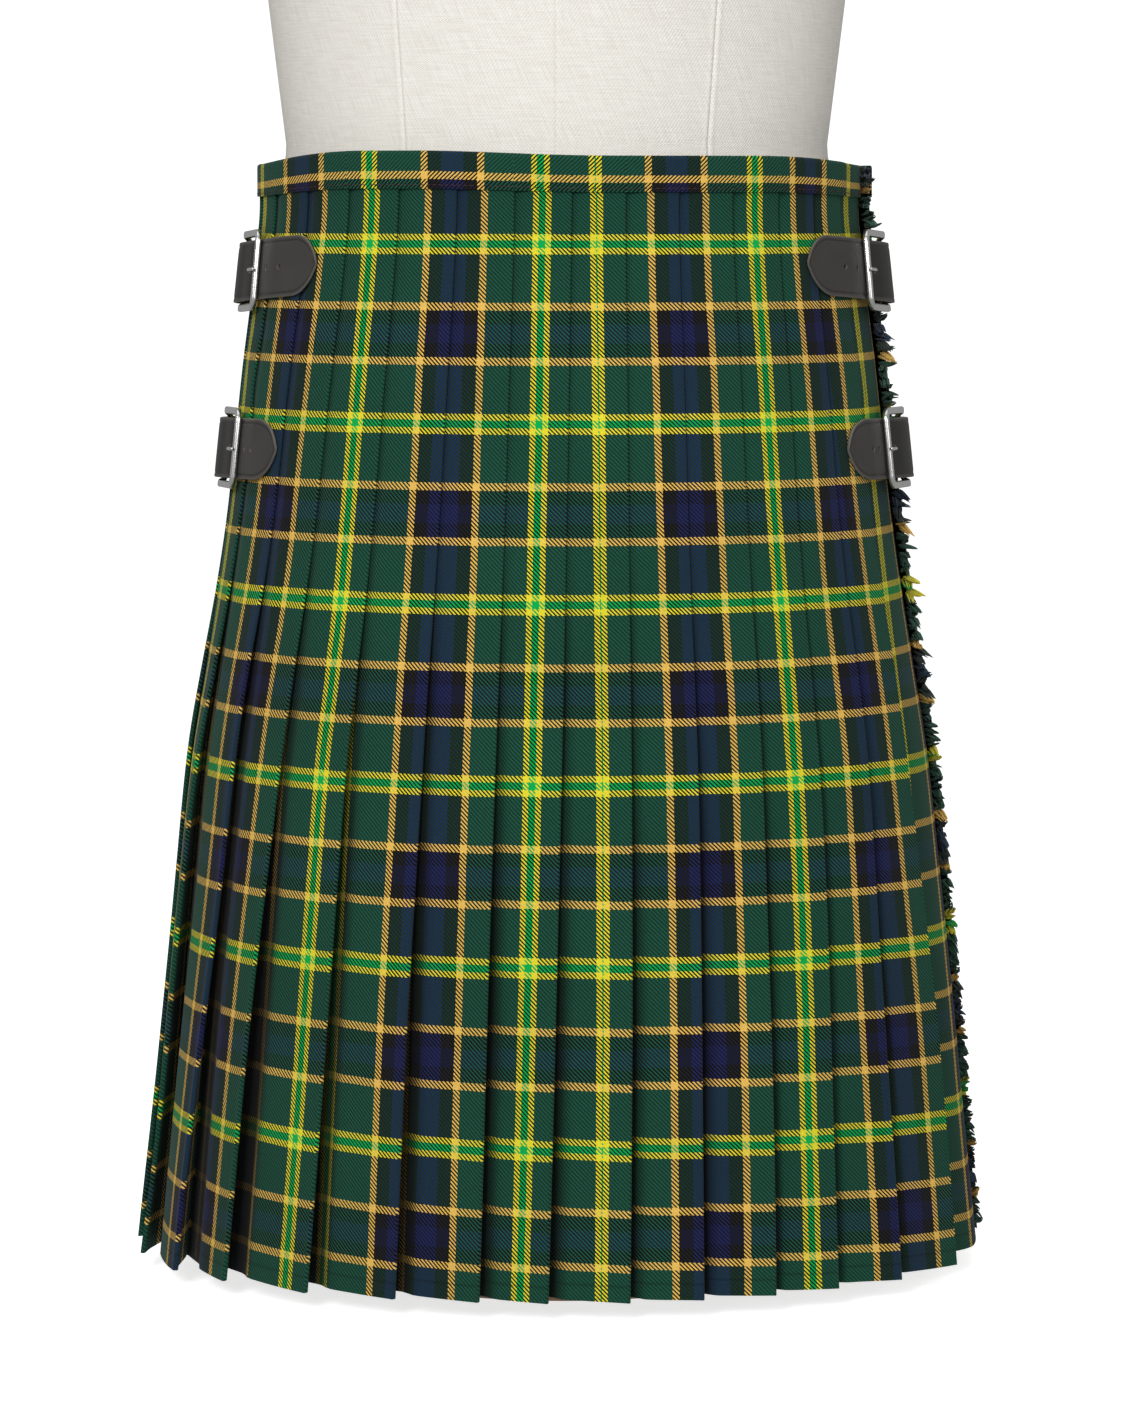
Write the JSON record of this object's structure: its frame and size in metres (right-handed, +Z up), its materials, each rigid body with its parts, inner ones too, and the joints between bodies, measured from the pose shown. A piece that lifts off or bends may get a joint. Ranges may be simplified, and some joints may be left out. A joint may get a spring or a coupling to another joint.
{
  "type": "scottish kilt on a dress form",
  "caption": "Knee-length green tartan kilt with a knife-pleated back, fringed over apron, leather side straps and silver buckles, worn by a limbless linen dress form",
  "frame": {"origin": "centre of the foot's underside, on the floor", "axes": "+X to the wearer's right, +Y to the wearer's front so that the pleated back faces -Y, +Z up"},
  "size_m": [0.4848, 0.381, 1.1763],
  "materials": {
    "tartan": "twilled wool, matt",
    "fringe_wool": "loose wool yarn, matt",
    "leather": "smooth black, half matt",
    "buckle_metal": "polished",
    "linen": "plain-woven natural linen, matt",
    "wood": "varnished",
    "stand_metal": "satin"
  },
  "bodies": {
    "root": {"over_apron": "tartan", "pleats_left": "tartan", "pleats_right": "tartan", "under_apron": "tartan", "waistband": "tartan", "apron_fringe": "fringe_wool", "strap_left_upper": "leather", "strap_left_lower": "leather", "strap_right_upper": "leather", "strap_right_lower": "leather", "chape_left_upper": "leather", "chape_left_lower": "leather", "chape_right_upper": "leather", "chape_right_lower": "leather", "buckle_left_upper": "buckle_metal", "buckle_left_lower": "buckle_metal", "buckle_right_upper": "buckle_metal", "buckle_right_lower": "buckle_metal", "prong_left_upper": "buckle_metal", "prong_left_lower": "buckle_metal", "prong_right_upper": "buckle_metal", "prong_right_lower": "buckle_metal", "form_torso": "linen", "form_neck_cap": "wood", "form_pole": "stand_metal", "form_foot": "wood"}
  },
  "joints": []
}
